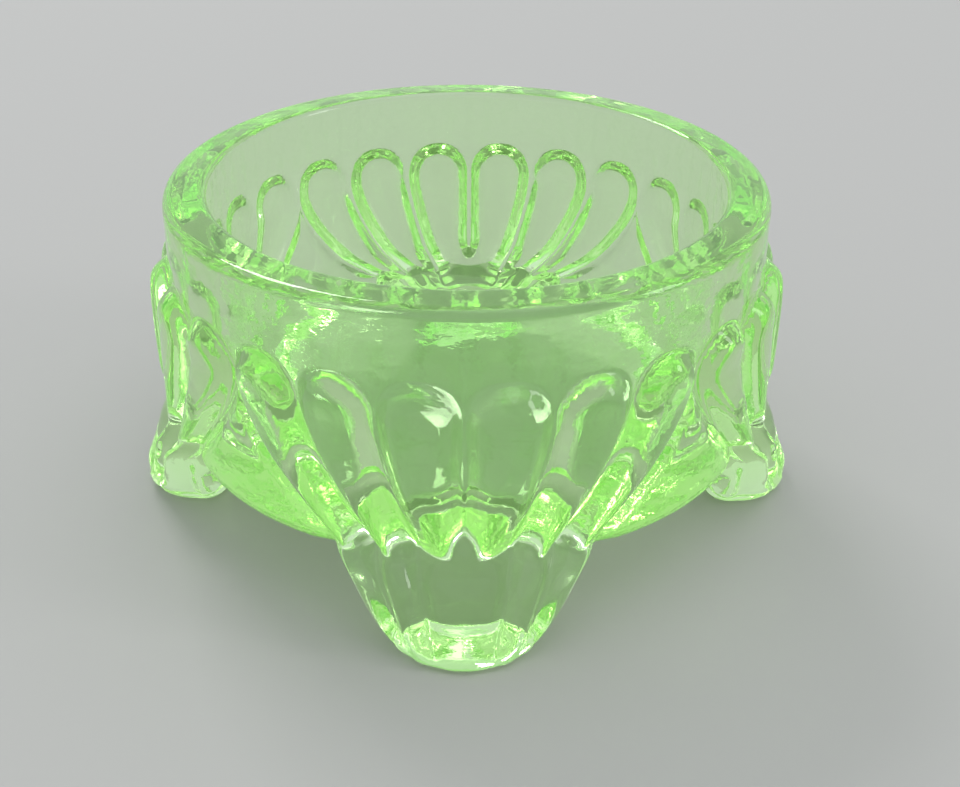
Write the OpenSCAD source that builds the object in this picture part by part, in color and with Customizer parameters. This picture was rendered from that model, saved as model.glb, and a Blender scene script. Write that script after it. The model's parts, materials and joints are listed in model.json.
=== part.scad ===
// Pressed-glass dish: a round straight-sided bowl with a rounded lip and a plain collar, a belt of raised
// petals below the collar, and four fluted feet. The petals above each foot lean together and run down into
// its flutes. The glass is one pressing; each module below is one region of it, and the regions meet face to
// face. +Z is up, the origin is on the bowl's axis at the level the feet stand on, and one foot points to -Y.

/* [Bowl] */
// Outside diameter of the rim and collar
rim_d = 70; // [60:1:84]
// Height of the lip above the surface the dish stands on
dish_h = 40.4; // [34:0.1:48]
// Thickness of the glass at the rim
wall_t = 5; // [4:0.1:6]
// How much the well narrows on each side from the lip to its lower corner
well_draft = 0.8; // [0.2:0.1:1.5]
// Radius of the corner between the well's wall and its floor
well_corner_r = 6; // [3:0.5:8]
// Thickness of the glass in the floor of the well
floor_t = 3.8; // [2.5:0.1:6]
// Height of the bowl's underside above the surface the dish stands on
heel_h = 9.2; // [8:0.1:12]
// Width of the bevel round the underside
heel_bevel = 2.8; // [1.5:0.1:3.5]

/* [Rim and collar] */
// Height of the lip ring
lip_h = 4; // [3:0.1:4.5]
// Radius of the lip's outer corner
lip_outer_r = 1.3; // [0.6:0.1:1.8]
// Radius of the lip's inner corner
lip_inner_r = 0.8; // [0.4:0.1:1.5]
// Height of the plain collar under the lip ring
collar_h = 4; // [2:0.1:6]

/* [Petals] */
// How far the grooves between the petals lie inside the collar's face
groove_in = 0.5; // [0.3:0.05:0.8]
// How far a petal's crest stands out from the grooves beside it
petal_out = 1.7; // [1:0.05:2.2]
// Width of the steep edge all round a petal
petal_edge = 2.6; // [1.5:0.1:3.5]
// How far the knee of each foot pushes the petals out
knee_out = 1.5; // [0.5:0.1:2.5]
// Share of their spacing that the petals lose as they run down into a foot
petal_pinch = 0.46; // [0.3:0.01:0.5]

/* [Feet] */
// How far the toe reaches beyond the rim
toe_reach = 5.6; // [3:0.1:8]
// How far the front of the ankle stands out beyond the rim
ankle_out = 2.1; // [1:0.1:3]
// Half the width of a foot where it leaves the bowl
ankle_half_w = 14; // [11:0.1:15]
// Half the width of a foot just above its sole
paw_half_w = 9; // [7:0.1:10.5]
// Half the width of the flat sole
sole_half_w = 6.5; // [5:0.1:8]
// How far inside the rim's edge the widest place of each sole lies
sole_in = 1.2; // [0:0.1:4]
// Length of the foot behind its widest place
foot_back = 5.3; // [4:0.1:6]
// How far the flutes stand out on a foot
flute_out = 0.9; // [0.3:0.05:1.3]

/* [Hidden] */
$fn = 96;

rim_r = rim_d / 2;
well_r = rim_r - wall_t;
sole_r = rim_r - sole_in;
// thickness of the glass left outside the bowl's cylinder in the grooves
groove_skin = 0.2;
cup_r = rim_r - groove_in - groove_skin;
floor_z = heel_h + floor_t;
heel_z = heel_h + heel_bevel;
petal_top_z = dish_h - lip_h - collar_h;
foot_step = 90;
petal_step = 15;
// angle on each side of a foot that its petals cover
sector = 45;
petal_cols = 48;
petal_rows = 11;
foot_cols = 24;
glass_green = [0.55, 0.85, 0.42, 0.75];
glass_pale = [0.66, 0.86, 0.58, 0.75];

function smooth(t) = t <= 0 ? 0 : t >= 1 ? 1 : t * t * (3 - 2 * t);
function mix(a, b, t) = a + (b - a) * t;

// A petal's rise at a distance inside its outline, 0 in the grooves and 1 on the crest: a steep round edge
// and a flatter middle.
crown_share = 0.2;
function pad(inside, half_w) =
    let (d = max(0, inside))
    mix(sin(90 * min(1, d / petal_edge)), sin(90 * min(1, d / half_w)), crown_share);

// The angle u is measured from the middle of the foot. Down runs from 0 at the petals' tops, which are
// half-round arches, to 1 at the top of the foot. Near the foot the two middle petals become one wide flute.
function half_petal_w(down) = rim_r * PI / 180 * petal_step / 2 * pinch(down);
function narrow_petal(u, down) =
    let (
        w = half_petal_w(down),
        across = w * abs((abs(u) % petal_step) / petal_step * 2 - 1),
        above = max(0, w - (petal_top_z - heel_z) * down)
    )
    pad(w - norm([across, above]), w);
function wide_petal(u, down) =
    abs(u) < petal_step
        ? pad(half_petal_w(down) * 2 * (1 - abs(u) / petal_step), 2 * half_petal_w(down))
        : narrow_petal(u, down);
function petal_shape(u, down) =
    mix(narrow_petal(u, down), wide_petal(u, down), smooth((down - 0.6) / 0.35));

// One point of the petal belt.
function pinch(down) = 1 - petal_pinch * pow(max(0, (down - 0.25) / 0.75), 1.4);
function knee(u, down) = knee_out * pow(cos(2 * u), 2) * smooth(down / 0.3);
function belt_r(u, down) =
    rim_r - groove_in * smooth(down / 0.3) + knee(u, down) + petal_out * petal_shape(u, down);
function belt_z(down) = mix(petal_top_z, heel_z, down);
function polar(r, a, z) = [r * sin(a), -r * cos(a), z];
function belt_point(u, down) = polar(belt_r(u, down), u * pinch(down), belt_z(down));

// The inside of a row lies on the bowl's cylinder: its corners are set out so that the flat
// stretches between them only touch the cylinder.
function skin_r(r, step, down) = r / cos(step * pinch(down) / 2);
function belt_inner(u, down) =
    polar(skin_r(cup_r, 2 * sector / petal_cols, down), u * pinch(down), belt_z(down));

// A foot's plan outline at height z is half an ellipse with flutes. It passes into the belt's
// lowest row at the top of the foot.
function foot_half_w(z) = lookup(z / heel_z, [
    [0, sole_half_w],
    [0.08, mix(sole_half_w, paw_half_w, 0.72)],
    [0.18, paw_half_w],
    [0.34, mix(paw_half_w, ankle_half_w, 0.3)],
    [0.57, mix(paw_half_w, ankle_half_w, 0.6)],
    [1, ankle_half_w]
]);
function foot_tip(z) = rim_r + lookup(z / heel_z, [
    [0, toe_reach - 0.9],
    [0.06, toe_reach - 0.15],
    [0.13, toe_reach],
    [0.25, mix(ankle_out, toe_reach, 0.75)],
    [0.5, mix(ankle_out, toe_reach, 0.35)],
    [0.8, mix(ankle_out, toe_reach, 0.05)],
    [1, ankle_out]
]);
function foot_outline(u, z) =
    let (
        flute = flute_out * wide_petal(u, 1) * smooth(z / 3),
        w = foot_half_w(z) + flute,
        d = foot_tip(z) - sole_r + flute
    )
    [w * sin(2 * u), -sole_r - d * cos(2 * u), z];
function foot_point(u, z) = mix(
    foot_outline(u, z), polar(belt_r(u, 1), u * pinch(1), z), smooth((z / heel_z - 0.75) / 0.25)
);

// The inside of a foot follows the bowl's cylinder and bevel, then runs back under the bowl
// and down to the sole.
bevel_r = cup_r - heel_bevel;
foot_heights = [1, 0.88, 0.76, 0.64, 0.52, 0.4, 0.29, 0.18, 0.1, 0.04, 0] * heel_z;
function rear_point(u, i) =
    let (z = heel_h * foot_heights[i] / foot_heights[2])
    [0.8 * foot_half_w(z) * u / sector, foot_back - sole_r, z];
function foot_inner(u, i) =
    i == 0 ? polar(skin_r(cup_r, 2 * sector / foot_cols, 1), u * pinch(1), heel_z)
    : i == 1 ? polar(skin_r(bevel_r, 2 * sector / foot_cols, 1), u * pinch(1), heel_h)
    : rear_point(u, i);

// A closed solid between two equal grids of points, the second one behind the first.
module between(front, back) {
    rows = len(front);
    cols = len(front[0]);
    n = rows * cols;
    function at(side, i, j) = side * n + i * cols + j;
    function quad(a, b, c, d) = [[a, b, c], [a, c, d]];
    skins = [
        for (i = [0:rows - 2], j = [0:cols - 2]) each concat(
            quad(at(0, i, j), at(0, i, j + 1), at(0, i + 1, j + 1), at(0, i + 1, j)),
            quad(at(1, i, j), at(1, i + 1, j), at(1, i + 1, j + 1), at(1, i, j + 1))
        )
    ];
    ends = [
        for (j = [0:cols - 2]) each concat(
            quad(at(0, 0, j), at(1, 0, j), at(1, 0, j + 1), at(0, 0, j + 1)),
            quad(at(0, rows - 1, j), at(0, rows - 1, j + 1), at(1, rows - 1, j + 1), at(1, rows - 1, j))
        )
    ];
    sides = [
        for (i = [0:rows - 2]) each concat(
            quad(at(0, i, 0), at(0, i + 1, 0), at(1, i + 1, 0), at(1, i, 0)),
            quad(at(0, i, cols - 1), at(1, i, cols - 1), at(1, i + 1, cols - 1), at(0, i + 1, cols - 1))
        )
    ];
    points = concat([for (row = front) each row], [for (row = back) each row]);
    polyhedron(points = points, faces = concat(skins, ends, sides), convexity = 6);
}

// The ring at the top of the bowl, flat with rounded corners.
module lip() {
    color(glass_green)
        rotate_extrude() {
            translate([well_r, dish_h - lip_h]) square([wall_t, lip_h - lip_outer_r]);
            translate([well_r + lip_inner_r, dish_h - lip_outer_r])
                square([wall_t - lip_inner_r - lip_outer_r, lip_outer_r]);
            translate([well_r, dish_h - lip_outer_r])
                square([lip_inner_r, lip_outer_r - lip_inner_r]);
            lip_corner(well_r + lip_inner_r, lip_inner_r, well_r);
            lip_corner(rim_r - lip_outer_r, lip_outer_r, rim_r - lip_outer_r);
        }
}

// A quarter disc at the top of the lip, centred at radius x, with its square from radius left outwards.
module lip_corner(x, r, left) {
    intersection() {
        translate([x, dish_h - r]) circle(r = r);
        translate([left, dish_h - r]) square([r, r]);
    }
}

// The plain band between the lip and the petals' tops.
module collar() {
    color(glass_pale)
        translate([0, 0, petal_top_z])
            difference() {
                cylinder(r = rim_r, h = collar_h);
                translate([0, 0, -1]) cylinder(r = well_r, h = collar_h + 2);
            }
}

// Half of the bowl's section below the collar, from the axis outwards.
module bowl_section() {
    low_r = well_r - well_draft;
    difference() {
        polygon([
            [0, heel_h], [bevel_r, heel_h], [cup_r, heel_z], [cup_r, petal_top_z], [0, petal_top_z]
        ]);
        polygon([
            [0, floor_z + well_corner_r], [low_r, floor_z + well_corner_r],
            [well_r, petal_top_z + 0.01], [0, petal_top_z + 0.01]
        ]);
        translate([low_r - well_corner_r, floor_z + well_corner_r]) circle(r = well_corner_r);
        translate([0, floor_z]) square([low_r - well_corner_r, well_corner_r + 0.01]);
    }
}

// The wall of the bowl, behind the petals, down to the well's floor.
module bowl_wall() {
    color(glass_pale)
        rotate_extrude()
            intersection() {
                bowl_section();
                translate([0, floor_z]) square([rim_r, dish_h]);
            }
}

// The floor of the bowl, with the bevelled underside.
module bowl_floor() {
    color(glass_green)
        rotate_extrude()
            intersection() {
                bowl_section();
                square([rim_r, floor_z]);
            }
}

// The belt of six petals over one foot.
module petals(side) {
    us = [for (j = [0:petal_cols]) mix(-sector, sector, j / petal_cols)];
    downs = [for (i = [0:petal_rows]) pow(i / petal_rows, 1.25)];
    color(glass_green)
        rotate([0, 0, side * foot_step])
            between(
                [for (d = downs) [for (u = us) belt_point(u, d)]],
                [for (d = downs) [for (u = us) belt_inner(u, d)]]
            );
}

// One foot, from the top of its ankle to its flat sole.
module foot(side) {
    us = [for (j = [0:foot_cols]) mix(-sector, sector, j / foot_cols)];
    rows = [0:len(foot_heights) - 1];
    color(glass_pale)
        rotate([0, 0, side * foot_step])
            between(
                [for (i = rows) [for (u = us) foot_point(u, foot_heights[i])]],
                [for (i = rows) [for (u = us) foot_inner(u, i)]]
            );
}

lip();
collar();
bowl_wall();
bowl_floor();
petals(0);  // petals_front
petals(1);  // petals_right
petals(2);  // petals_back
petals(3);  // petals_left
foot(0);  // foot_front
foot(1);  // foot_right
foot(2);  // foot_rear
foot(3);  // foot_left
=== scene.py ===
import json
import math

import bmesh
import bpy
from mathutils import Matrix, Vector

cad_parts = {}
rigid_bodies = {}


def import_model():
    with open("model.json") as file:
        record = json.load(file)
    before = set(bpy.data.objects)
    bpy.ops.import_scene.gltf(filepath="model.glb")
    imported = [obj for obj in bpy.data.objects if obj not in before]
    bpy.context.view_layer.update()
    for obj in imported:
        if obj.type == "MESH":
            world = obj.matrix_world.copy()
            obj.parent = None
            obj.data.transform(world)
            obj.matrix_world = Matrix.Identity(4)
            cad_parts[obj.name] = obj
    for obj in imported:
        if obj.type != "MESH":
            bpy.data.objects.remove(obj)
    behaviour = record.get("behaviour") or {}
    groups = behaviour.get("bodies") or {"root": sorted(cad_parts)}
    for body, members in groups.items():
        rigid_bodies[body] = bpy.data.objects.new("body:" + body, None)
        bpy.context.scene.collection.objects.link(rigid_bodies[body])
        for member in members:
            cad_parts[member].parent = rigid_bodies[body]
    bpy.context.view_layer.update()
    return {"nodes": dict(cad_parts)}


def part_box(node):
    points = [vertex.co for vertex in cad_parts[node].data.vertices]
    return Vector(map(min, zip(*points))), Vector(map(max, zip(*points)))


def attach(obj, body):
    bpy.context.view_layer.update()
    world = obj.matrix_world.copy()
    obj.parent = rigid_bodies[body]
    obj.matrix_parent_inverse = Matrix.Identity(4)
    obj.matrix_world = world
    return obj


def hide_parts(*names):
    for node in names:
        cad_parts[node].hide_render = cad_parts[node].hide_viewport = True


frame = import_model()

mm = 0.001


def mix(a, b, t):
    return a + (b - a) * t


def smooth(t):
    t = min(1.0, max(0.0, t))
    return t * t * (3 - 2 * t)


def steps(count):
    return [i / count for i in range(count + 1)]


def along(points, x):
    # a soft curve through (x, y) pairs that never swings past them
    slopes = [(b[1] - a[1]) / (b[0] - a[0]) for a, b in zip(points, points[1:])]
    i = max(k for k in range(len(slopes)) if k == 0 or points[k][0] <= x)

    def tangent(k):
        if k == 0 or k == len(slopes):
            return slopes[min(k, len(slopes) - 1)]
        a, b = slopes[k - 1], slopes[k]
        return 0 if a * b <= 0 else 2 * a * b / (a + b)

    (x0, y0), (x1, y1) = points[i], points[i + 1]
    h = x1 - x0
    t = (x - x0) / h
    curve = y0 * (1 + 2 * t) * (1 - t) ** 2 + h * tangent(i) * t * (1 - t) ** 2
    return curve + y1 * t * t * (3 - 2 * t) + h * tangent(i + 1) * t * t * (t - 1)


def polar(r, degrees, z):
    a = math.radians(degrees)
    return (r * math.sin(a), -r * math.cos(a), z)


def between(p, q, t):
    return tuple(mix(a, b, t) for a, b in zip(p, q))


def quarter(point, side):
    x, y, z = point
    return [(x, y, z), (-y, x, z), (-x, -y, z), (y, -x, z)][side]


def selectOnly(piece):
    bpy.ops.object.select_all(action="DESELECT")
    piece.select_set(True)
    bpy.context.view_layer.objects.active = piece


def edge(node, corner, axis):
    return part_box(node)[corner][axis] / mm


# the dish, in millimetres and degrees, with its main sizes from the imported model
dish = {
    "rimR": edge("collar", 1, 0),
    "topZ": edge("lip", 1, 2),
    "collarZ": edge("collar", 0, 2),
    "floorZ": edge("bowl_floor", 1, 2),
    "underZ": edge("bowl_floor", 0, 2),
    "heelZ": edge("petals_front", 0, 2),
    "toeR": -edge("foot_front", 0, 1),
    "wall": 5.0,
    "lipOutR": 1.3,  # the lip is nearly flat, with round corners
    "lipInR": 0.8,
    "lipSlope": 0.15,  # how much lower its outer side is
    "wellDraft": 0.8,
    "wellCorner": 6.0,
    "sector": 45,  # the petals on each side of a foot's middle
    "petalStep": 15,
    "grooveIn": 1.1,
    "petalOut": 2.3,
    # shares of the belt's height, counted from its top
    "reliefFull": 0.3,  # the grooves and the knee have their whole depth
    "pinchStart": 0.25,  # the petals begin to draw together
    "roundStart": 0.55,  # the petals begin to grow rounder
    "roundLength": 0.4,
    "mergeStart": 0.7,  # the two middle petals begin to become one flute
    "mergeLength": 0.28,
    "deepenStart": 0.7,  # the grooves begin to deepen
    "deepenLength": 0.3,
    "grooveGap": 0.2,  # half the flat between two petals
    "edgeR": 2.6,
    "flatness": 0.8,
    "footFlatness": 0.1,
    "kneeOut": 1.4,
    "webOut": 1.0,
    "pinch": 0.46,  # share of their spacing that the petals lose on the way down
    "pinchPower": 1.4,
    "leastPinch": 0.003,  # below this the web would have slivers for faces
    "heelBevel": 2.6,
    "ankleOut": 2.1,
    "ankleHalfW": 14.0,
    "pawHalfW": 9.0,
    "soleHalfW": 6.5,
    "soleR": 33.8,
    "toeIn": 0.75,  # how far the toe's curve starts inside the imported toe
    "footBack": 5.3,
    "backLean": 1.2,
    "backRound": 0.7,  # under 1 squares the corners of a foot's back
    "backBow": 0.8,
    "deepen": 0.8,  # how much deeper the grooves are at the top of a foot
    "fluteOut": 1.3,
    "fluteCut": 2.2,
    "fluteSide": 0.35,  # share of a flute's rise that also widens the foot
    "soleRound": 0.3,
    "fluteFade": 3,  # heights above the sole over which the flutes, their grooves and the sides fade in
    "cutFade": 6,
    "sideFade": 2,
    "joinStart": 0.68,  # share of a foot's height where it begins to turn into the bowl
    "joinLength": 0.32,
    "seamOut": 0.04,
    "seamHalfAngle": 0.95,
    "underDome": 0.4,
    "weld": 0.003,
    "sharpAngle": 0.45,  # radians: corners sharper than this melt where soften lets them
    "petalCols": 96,
    "petalRows": 56,
    "webCols": 24,
    "footRows": 34,
    "heelRows": 8,
    "soleRows": 8,
    "underRows": 8,
}
d = dish
grooveR = d["rimR"] - d["grooveIn"]
wellR = d["rimR"] - d["wall"]
perPetal = d["petalCols"] // 6
halfStep = d["petalStep"] / 2
columns = [divmod(k, perPetal) for k in range(d["petalCols"] + 1)]
us = [d["petalStep"] * (petal - 3) + halfStep * (1 - math.cos(math.pi * k / perPetal))
      for petal, k in columns]  # columns crowd towards the grooves
downs = [t**1.15 for t in steps(d["petalRows"])]


def pad(inside, halfWidth, down=0):
    # a petal's rise at a distance inside its outline: a steep round edge and a flatter middle
    inside = max(0, inside - d["grooveGap"])
    rim = math.sin(math.pi / 2 * min(1, inside / d["edgeR"]))
    crown = math.sin(math.pi / 2 * min(1, inside / (halfWidth - d["grooveGap"])))
    rounder = smooth((down - d["roundStart"]) / d["roundLength"])
    return mix(crown, rim, mix(d["flatness"], d["footFlatness"], rounder))


def petalRise(u, down, wide):
    # the angle u is measured from the middle of the foot, and down is 0 at the petals' tops and 1 at the foot
    merged = wide and abs(u) < d["petalStep"]
    halfAngle = d["petalStep"] if merged else halfStep
    offset = abs(u) if merged else abs((abs(u) % d["petalStep"]) - halfStep)
    halfWidth = math.radians(halfAngle * pinched(1, down)) * d["rimR"]
    across = halfWidth * offset / halfAngle
    depth = (d["collarZ"] - d["heelZ"]) * down
    above = 0 if merged else max(0, halfWidth - depth)
    return pad(halfWidth - math.hypot(across, above), halfWidth, down)


def petalShape(u, down):
    merge = smooth((down - d["mergeStart"]) / d["mergeLength"])
    narrow = petalRise(u, down, False)
    return mix(narrow, petalRise(u, down, True), merge) if merge else narrow


def pinched(u, down):
    start = d["pinchStart"]
    lost = d["pinch"] * max(0, (down - start) / (1 - start)) ** d["pinchPower"]
    return u * (1 - lost) if lost > d["leastPinch"] else u


def seam(u):
    return d["seamOut"] * max(0, 1 - abs(u) / d["seamHalfAngle"])


def beltR(u, down):
    begun = smooth(down / d["reliefFull"])
    base = mix(d["rimR"], grooveR, begun)
    overFoot = max(0, math.cos(math.radians(2 * u)))
    knee = d["kneeOut"] * overFoot**2 * begun
    rise = petalShape(u, down)
    low = smooth((down - d["deepenStart"]) / d["deepenLength"])
    cut = d["deepen"] * overFoot * (1 - rise) * low
    return base + knee + d["petalOut"] * rise - cut + seam(u) * smooth(down / 0.1)


def beltPoint(u, down):
    return polar(beltR(u, down), pinched(u, down), mix(d["collarZ"], d["heelZ"], down))


# a foot's outlines, by the share of the height from its sole to its top
def footHalfW(share):
    sole, paw, ankle = d["soleHalfW"], d["pawHalfW"], d["ankleHalfW"]
    points = [(0, sole), (0.05, mix(sole, paw, 0.62)), (0.16, paw), (0.34, mix(paw, ankle, 0.3))]
    return along(points + [(0.57, mix(paw, ankle, 0.6)), (1, ankle)], share)


def footTip(share):
    toe, ankle = d["toeR"] - d["toeIn"], d["rimR"] + d["ankleOut"]
    points = [(0, toe - 0.2), (0.05, toe + 0.25), (0.12, toe), (0.25, mix(ankle, toe, 0.72))]
    return along(points + [(0.5, mix(ankle, toe, 0.35)), (0.8, mix(ankle, toe, 0.05)), (1, ankle)], share)


def joinUp(share):
    return smooth((share - d["joinStart"]) / d["joinLength"])


def footFront(u, share):
    z = share * d["heelZ"]
    rise = petalRise(u, 1, True)
    begun = smooth(z / d["fluteFade"])
    flute = (d["fluteOut"] * rise + seam(u)) * begun
    w = footHalfW(share) + d["fluteSide"] * flute - d["soleRound"] * smooth(z / d["sideFade"])
    crest = d["fluteOut"] * begun
    cut = d["fluteCut"] * (1 - rise) * smooth(z / d["cutFade"])
    reach = footTip(share) - d["soleR"] + crest + seam(u) * begun - cut
    turn = u / d["sector"]
    side = turn * (1.12 - 0.12 * turn**2)  # spreads the flutes a little towards the sides
    outline = (w * side, -d["soleR"] - reach * math.sqrt(max(0, 1 - side**2)), z)
    belt = polar(beltR(u, 1), pinched(u, 1), z)
    return between(outline, belt, joinUp(share))


def webPoint(t, down):
    # the smooth panel between two feet, raised from the grooves beside it
    side = pinched(d["sector"], down)
    halfWidth = math.radians(d["sector"] - side) * d["rimR"]
    rise = d["webOut"] * pad(2 * halfWidth * min(t, 1 - t), max(0.5, halfWidth))
    z = mix(d["collarZ"], d["heelZ"], down)
    return polar(beltR(d["sector"], down) + rise, mix(side, 90 - side, t), z)


def heelPoint(t, degrees, rise=0):
    # the round from the web down under the bowl
    a, b = math.pi / 2 * t, d["heelBevel"] + rise
    z = d["heelZ"] - (d["heelZ"] - d["underZ"]) * math.sin(a)
    return polar(grooveR + rise - b + b * math.cos(a), degrees, z)


def footTop(i):
    # where the back of a foot joins the bowl: along the heel, across the underside, along the heel
    last, n = d["petalCols"], d["heelRows"]
    side = pinched(d["sector"], 1)
    if i <= n:
        return heelPoint(i / n, -side)
    if i >= last - n:
        return heelPoint((last - i) / n, side)
    x0, y0, z0 = heelPoint(1, side)
    t = mix(-1, 1, (i - n) / (last - 2 * n))
    return (x0 * t, y0 + d["backBow"] * (1 - t**4), z0)


def footRear(i, share):
    # the back of a foot: a round-cornered face that draws in towards the sole
    top = footTop(i)
    a = math.pi * (i / d["petalCols"] - 0.5)
    back = mix(d["footBack"] - d["backLean"], d["footBack"], smooth(share))
    w = footHalfW(share) - d["soleRound"] * smooth(share * d["heelZ"] / d["sideFade"])
    x = w * math.copysign(abs(math.sin(a)) ** d["backRound"], a)
    low = (x, -d["soleR"] + back * max(0, math.cos(a)) ** d["backRound"], 0)
    x, y, _ = between(low, top, joinUp(share))
    return (x, y, top[2] * share)


def layGrid(bm, rows, side):
    verts = [[bm.verts.new([c * mm for c in quarter(p, side)]) for p in row] for row in rows]
    for a, b in zip(verts, verts[1:]):
        for i in range(len(a) - 1):
            bm.faces.new((a[i], a[i + 1], b[i + 1], b[i]))


def quarterGrids():
    # a quarter of the outside below the collar, as grids that share their edges
    def side(down):
        return pinched(d["sector"], down)

    count = d["webCols"]
    belt = [[beltPoint(u, down) for u in us] for down in downs]
    webRows = [down for down, after in zip(downs, downs[1:] + [2])
               if side(after) < d["sector"] or after > 1]  # the web starts where the petals begin to part
    web = [[webPoint(t, down) for t in steps(count)] for down in webRows]
    heel = [
        [heelPoint(k, mix(side(1), 90 - side(1), t), math.hypot(*webPoint(t, 1)[:2]) - grooveR)
         for t in steps(count)] for k in steps(d["heelRows"])
    ]
    shares = [t**1.3 for t in steps(d["footRows"])]
    front = [[footFront(u, share) for u in us] for share in reversed(shares)]
    rear = [[footRear(i, share) for i in range(len(us))] for share in shares]
    sole = [[between(p, q, t) for p, q in zip(front[-1], rear[0])] for t in steps(d["soleRows"])]
    n = d["heelRows"]
    edgeLine = rear[-1][n:len(us) - n] + heel[-1][1:]
    under = []
    for t in steps(d["underRows"]):
        keep = 1 - t
        rise = d["underDome"] * smooth(2 * t)
        under.append([(x * keep, y * keep, z + rise) for x, y, z in edgeLine])
    return [belt, web, heel, front, rear, sole, under]


def spinProfile(points, turns):
    # a line drawn point by point from the axis outwards, turned once round the axis
    bpy.ops.object.select_all(action="DESELECT")
    bpy.ops.mesh.primitive_plane_add(size=mm)
    piece = bpy.context.object
    bpy.ops.object.mode_set(mode="EDIT")
    bpy.ops.mesh.merge(type="CENTER")
    spots = [Vector((0, -r * mm, z * mm)) for r, z in points]
    bpy.ops.transform.translate(value=spots[0])
    for a, b in zip(spots, spots[1:]):
        bpy.ops.mesh.extrude_region_move(TRANSFORM_OT_translate={"value": b - a})
    bpy.ops.mesh.select_all(action="SELECT")
    bpy.ops.mesh.spin(steps=turns, angle=2 * math.pi, center=(0, 0, 0), axis=(0, 0, 1))
    bpy.ops.mesh.select_all(action="SELECT")
    bpy.ops.mesh.remove_doubles(threshold=d["weld"] * mm)
    bpy.ops.object.mode_set(mode="OBJECT")
    return piece


def wellProfile():
    # from the middle of the well's floor, up the wall, over the lip and down the collar
    low, c = wellR - d["wellDraft"], d["wellCorner"]
    outer, inner = d["lipOutR"], d["lipInR"]
    lipZ, outZ = d["topZ"] - inner, d["topZ"] - outer - d["lipSlope"]
    line = [((low - c) * t, d["floorZ"]) for t in steps(8)]
    for t in steps(12)[1:]:
        a = math.pi / 2 * t
        line.append((low - c + c * math.sin(a), d["floorZ"] + c - c * math.cos(a)))
    line += [(mix(low, wellR, t), mix(d["floorZ"] + c, lipZ, t)) for t in steps(14)[1:]]
    for t in steps(8)[1:]:
        a = math.pi / 2 * t
        line.append((wellR + inner - inner * math.cos(a), lipZ + inner * math.sin(a)))
    for t in steps(9)[1:]:
        line.append((mix(wellR + inner, d["rimR"] - outer, t), mix(d["topZ"], outZ + outer, smooth(t))))
    for t in steps(10)[1:]:
        a = math.pi / 2 * t
        line.append((d["rimR"] - outer + outer * math.sin(a), outZ + outer * math.cos(a)))
    line += [(d["rimR"], mix(outZ, d["collarZ"], t)) for t in steps(8)[1:]]
    return line


def makeDish():
    piece = spinProfile(wellProfile(), 4 * d["petalCols"])
    piece.name = piece.data.name = "pressedGlassDish"
    bm = bmesh.new()
    for side in range(4):
        for rows in quarterGrids():
            layGrid(bm, rows, side)
    mesh = bpy.data.meshes.new("beltAndFeet")
    bm.to_mesh(mesh)
    bm.free()
    for v in piece.data.vertices:  # the turned columns move to the petals' own angles
        x, y, z = v.co
        r = math.hypot(x, y)
        if r > 0.01 * mm:
            column = round(math.degrees(math.atan2(x, -y)) % 360 / 90 * d["petalCols"])
            side, k = divmod(column, d["petalCols"])
            v.co = polar(r, 90 * side + us[k] + d["sector"], z)
    lower = bpy.data.objects.new("beltAndFeet", mesh)
    bpy.context.scene.collection.objects.link(lower)
    selectOnly(piece)
    lower.select_set(True)
    bpy.ops.object.join()
    bpy.ops.object.mode_set(mode="EDIT")
    bpy.ops.mesh.select_all(action="SELECT")
    bpy.ops.mesh.remove_doubles(threshold=d["weld"] * mm)
    bpy.ops.mesh.normals_make_consistent(inside=False)
    bpy.ops.object.mode_set(mode="OBJECT")
    soften(piece)
    bpy.ops.object.shade_smooth()
    return piece


def soften(piece):
    # fire polish: the corners at the sole, the heel and the back of each foot melt a little
    selectOnly(piece)
    bpy.ops.object.mode_set(mode="EDIT")
    bpy.ops.mesh.select_all(action="DESELECT")
    bm = bmesh.from_edit_mesh(piece.data)
    bpy.context.tool_settings.mesh_select_mode = (True, False, False)
    for v in bm.verts:
        x, y, z = (c / mm for c in v.co)
        r = math.hypot(x, y)
        angles = [a.normal.angle(b.normal, 0) for a in v.link_faces for b in v.link_faces]
        atSole = z < 1
        atUnderside = r < grooveR - 0.6 and z < d["floorZ"] - 1
        v.select = len(v.link_faces) > 1 and max(angles) > d["sharpAngle"] and (atSole or atUnderside)
    bm.select_flush_mode()
    bmesh.update_edit_mesh(piece.data)
    bpy.ops.mesh.select_more()
    bpy.ops.mesh.vertices_smooth(factor=0.5, repeat=4)
    bpy.ops.mesh.select_more()
    bpy.ops.mesh.vertices_smooth(factor=0.4, repeat=3)
    bpy.ops.object.mode_set(mode="OBJECT")


dishPiece = makeDish()
print("dish shaped:", len(dishPiece.data.polygons), "faces")


def link(tree, a, b):
    tree.links.new(a, b)


def addNode(tree, kind, **values):
    node = tree.nodes.new(kind)
    for name, value in values.items():
        if hasattr(node, name):
            setattr(node, name, value)
        else:
            node.inputs[name.replace("_", " ")].default_value = value
    return node


glass = {
    "ior": 1.51,
    "tint": (0.83, 1.0, 0.75, 1),
    "polish": (0.006, 0.03),  # roughness where the fire polish is best and worst
    "bumpHeight": 0.0005,
    "bump": 0.3,
    "ripple": (90, (1, 1, 3.2), 2),  # size, squash and detail of the broad ripple
    "fine": (420, (1, 1, 1.6), 3),
    "cloud": (110, (1, 1, 1.8), 4),
    "cloudRange": (0.35, 0.7),
    "absorb": (0.50, 0.88, 0.06, 1),
    "density": 22.0,
    # painted glow: a faint, even green emission that stands in for the fluorescence daylight stirs in the
    # glass, and lifts its shade
    "paintedGlow": (0.75, 1.0, 0.6, 1),
    "paintedGlowPower": 0.022,
}


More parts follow.
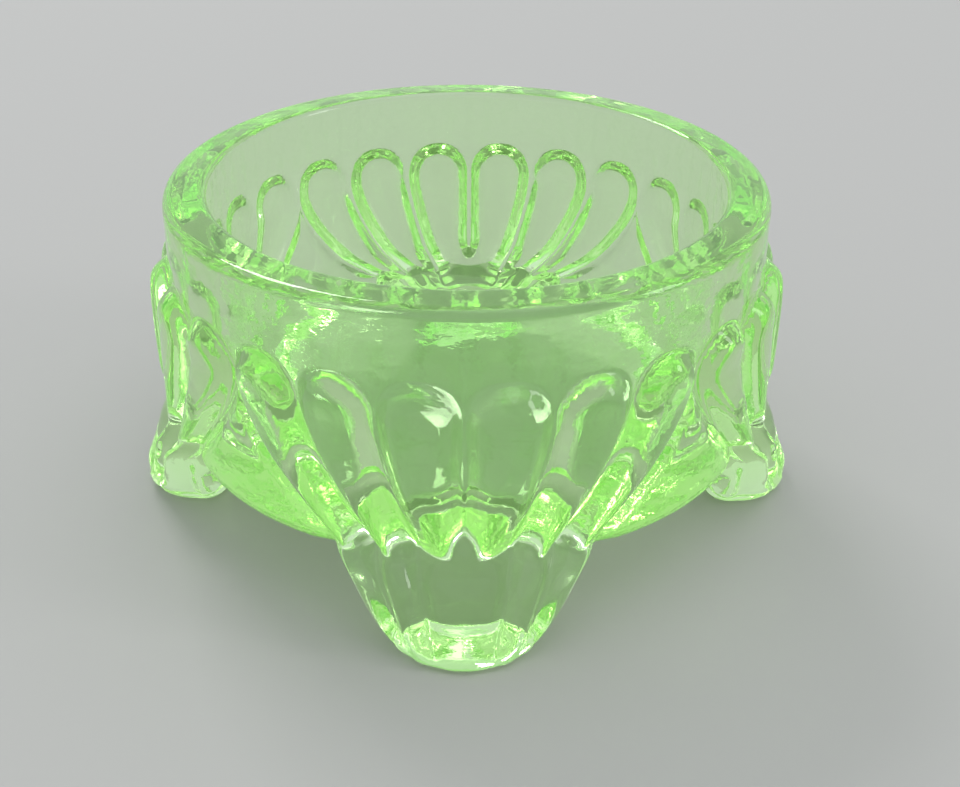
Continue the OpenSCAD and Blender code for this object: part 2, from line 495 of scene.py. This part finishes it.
# what the mould and the fire polish leave on pressed glass: a height for bumps and a cloud for the polish
def makeSkinGroup():
    group = bpy.data.node_groups.new("pressedSkin", "ShaderNodeTree")
    face = group.interface
    for name, value in (("Ripple", 0.5), ("Fine", 0.3)):
        socket = face.new_socket(name, in_out="INPUT", socket_type="NodeSocketFloat")
        socket.default_value = value
    face.new_socket("Height", in_out="OUTPUT", socket_type="NodeSocketFloat")
    face.new_socket("Cloud", in_out="OUTPUT", socket_type="NodeSocketFloat")
    source = addNode(group, "NodeGroupInput")
    result = addNode(group, "NodeGroupOutput")
    place = addNode(group, "ShaderNodeTexCoord")

    def noise(size, scale, detail):
        squash = addNode(group, "ShaderNodeMapping")
        squash.inputs["Scale"].default_value = scale
        link(group, place.outputs["Object"], squash.inputs["Vector"])
        cells = addNode(group, "ShaderNodeTexNoise", Scale=size, Detail=detail, Roughness=0.45)
        link(group, squash.outputs["Vector"], cells.inputs["Vector"])
        return cells.outputs["Fac"]

    def maths(kind, a, b):
        node = group.nodes.new("ShaderNodeMath")
        node.operation = kind
        link(group, a, node.inputs[0])
        link(group, b, node.inputs[1])
        return node.outputs[0]

    ripple = maths("MULTIPLY", noise(*glass["ripple"]), source.outputs["Ripple"])
    fine = maths("MULTIPLY", noise(*glass["fine"]), source.outputs["Fine"])
    link(group, maths("ADD", ripple, fine), result.inputs["Height"])
    link(group, noise(*glass["cloud"]), result.inputs["Cloud"])
    return group


def makeGlass():
    material = bpy.data.materials.new("uraniumGlass")
    material.use_nodes = True
    tree = material.node_tree
    surface = tree.nodes["Principled BSDF"]
    output = tree.nodes["Material Output"]
    surface.inputs["Base Color"].default_value = glass["tint"]
    surface.inputs["IOR"].default_value = glass["ior"]
    surface.inputs["Transmission Weight"].default_value = 1.0
    # painted glow: the glass gives off a faint, even green light of its own that lifts its darker parts
    surface.inputs["Emission Color"].default_value = glass["paintedGlow"]
    surface.inputs["Emission Strength"].default_value = glass["paintedGlowPower"]
    skin = tree.nodes.new("ShaderNodeGroup")
    skin.node_tree = makeSkinGroup()
    bump = addNode(tree, "ShaderNodeBump", Strength=glass["bump"], Distance=glass["bumpHeight"])
    link(tree, skin.outputs["Height"], bump.inputs["Height"])
    haze = addNode(tree, "ShaderNodeMapRange")
    haze.inputs["From Min"].default_value, haze.inputs["From Max"].default_value = glass["cloudRange"]
    haze.inputs["To Min"].default_value, haze.inputs["To Max"].default_value = glass["polish"]
    link(tree, skin.outputs["Cloud"], haze.inputs["Value"])
    link(tree, haze.outputs["Result"], surface.inputs["Roughness"])
    link(tree, bump.outputs["Normal"], surface.inputs["Normal"])
    body = addNode(tree, "ShaderNodeVolumeAbsorption", Color=glass["absorb"], Density=glass["density"])
    link(tree, body.outputs["Volume"], output.inputs["Volume"])
    return material


dishPiece.data.materials.clear()
dishPiece.data.materials.append(makeGlass())
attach(dishPiece, "root")
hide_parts(*sorted(frame["nodes"]))
print("glass made")

# floor, light and camera
stageSet = {
    "floorSize": 6.0,
    "floorColor": (0.46, 0.455, 0.44, 1),
    "worldColor": (0.93, 0.97, 1.0, 1),
    "worldPower": 0.8,
    "floorDrop": 0.0001,  # keeps the soles and the floor from sharing a face
    "floorRoughness": 0.75,
    "bounces": 48,  # light runs a long way inside the thick floor of the dish
    "lightAim": (0, 0, 0.02),
    "lights": {  # place, size and power
        "windowLight": ((-0.5, 0.9, 1.1), (0.55, 0.35), 6),
        "topLight": ((0.3, -0.2, 1.4), (1.0, 1.0), 3),
        "sideLight": ((1.2, -0.3, 0.6), (0.3, 0.5), 2),
    },
}


def makeFloor():
    bpy.ops.object.select_all(action="DESELECT")
    bpy.ops.mesh.primitive_plane_add(size=stageSet["floorSize"], location=(0, 0, -stageSet["floorDrop"]))
    floor = bpy.context.object
    floor.name = "paleFloor"
    bpy.ops.object.transform_apply(location=True)
    material = bpy.data.materials.new("paleFloor")
    material.use_nodes = True
    surface = material.node_tree.nodes["Principled BSDF"]
    surface.inputs["Base Color"].default_value = stageSet["floorColor"]
    surface.inputs["Roughness"].default_value = stageSet["floorRoughness"]
    floor.data.materials.append(material)


def softLight(name, place, size, power):
    light = bpy.data.lights.new(name, "AREA")
    light.shape = "RECTANGLE"
    light.size, light.size_y = size
    light.energy = power
    lamp = bpy.data.objects.new(name, light)
    bpy.context.scene.collection.objects.link(lamp)
    lamp.location = place
    aim = Vector(stageSet["lightAim"]) - Vector(place)
    lamp.rotation_euler = aim.to_track_quat("-Z", "Y").to_euler()


def makeLights():
    for name, (place, size, power) in stageSet["lights"].items():
        softLight(name, place, size, power)
    world = bpy.data.worlds.new("studio")
    bpy.context.scene.world = world
    world.use_nodes = True
    sky = world.node_tree.nodes["Background"]
    sky.inputs["Color"].default_value = stageSet["worldColor"]
    sky.inputs["Strength"].default_value = stageSet["worldPower"]


camera = {  # millimetres, and radians for the roll
    "place": (1.12, -162.99, 104.14),
    "target": (1.64, 0, 11.25),
    "roll": 0.0069,
    "lens": 55.91,
    "sensor": 36,
}


def makeCamera():
    data = bpy.data.cameras.new("camera")
    data.lens = camera["lens"]
    data.sensor_width = camera["sensor"]
    data.clip_start = 0.005
    eye = bpy.data.objects.new("camera", data)
    bpy.context.scene.collection.objects.link(eye)
    place = Vector(camera["place"]) * mm
    look = Vector(camera["target"]) * mm - place
    turn = look.to_track_quat("-Z", "Y").to_matrix().to_4x4()
    eye.matrix_world = Matrix.Translation(place) @ turn @ Matrix.Rotation(camera["roll"], 4, "Z")
    bpy.context.scene.camera = eye


makeFloor()
makeLights()
makeCamera()
cycles = bpy.context.scene.cycles
cycles.max_bounces = cycles.transmission_bounces = cycles.glossy_bounces = stageSet["bounces"]
bpy.context.scene.view_settings.view_transform = "Standard"
print("stage ready")
